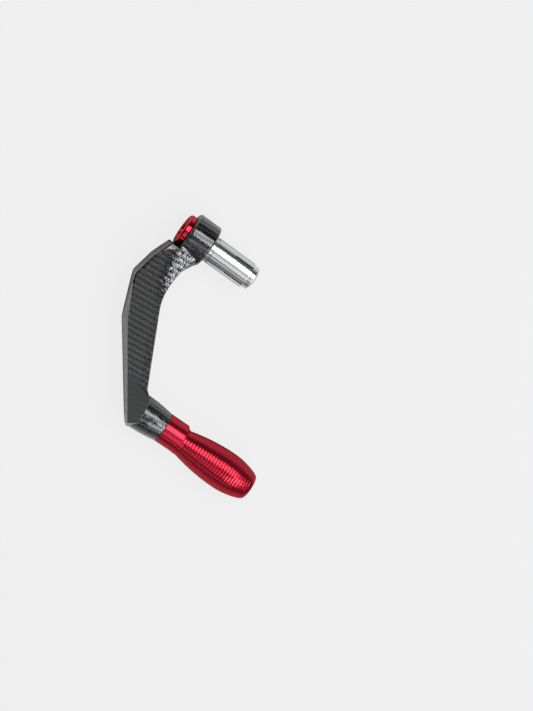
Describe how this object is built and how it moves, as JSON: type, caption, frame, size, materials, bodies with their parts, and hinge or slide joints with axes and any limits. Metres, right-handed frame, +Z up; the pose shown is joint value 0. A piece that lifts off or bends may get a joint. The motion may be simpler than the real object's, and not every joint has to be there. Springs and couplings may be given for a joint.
{
  "type": "brake lever guard",
  "caption": "Motorcycle brake lever guard: moulded arm with a bar-end clamp boss and expander, curving forward to a ribbed red tip that shields the lever.",
  "frame": {"origin": "on the handlebar's centre line, on the inboard face of the clamp boss, where the bar end meets it", "axes": "+X along the handlebar and outboard, +Y forward from the bar to the tip, +Z up, away from the ground when fitted level"},
  "size_m": [0.1405, 0.1366, 0.0282],
  "materials": {
    "carbon_look": "moulded ABS with a twill carbon film under clear lacquer",
    "red_anodised": "turned aluminium, red anodised",
    "turned_aluminium": "turned and polished",
    "bolt_steel": "zinc-plated socket-head screws",
    "insert_brass": "turned brass"
  },
  "bodies": {
    "root": {"guard_arm": "carbon_look", "end_ring": "red_anodised", "rim_washer": "turned_aluminium", "bar_bolt": "bolt_steel", "bar_bolt_washer": "bolt_steel", "stop_ring": "turned_aluminium", "expander_sleeve": "turned_aluminium", "cone_nut": "turned_aluminium", "grip_tip": "red_anodised", "tip_bolt": "bolt_steel", "tip_bolt_washer": "bolt_steel", "tip_insert": "insert_brass"}
  },
  "joints": []
}
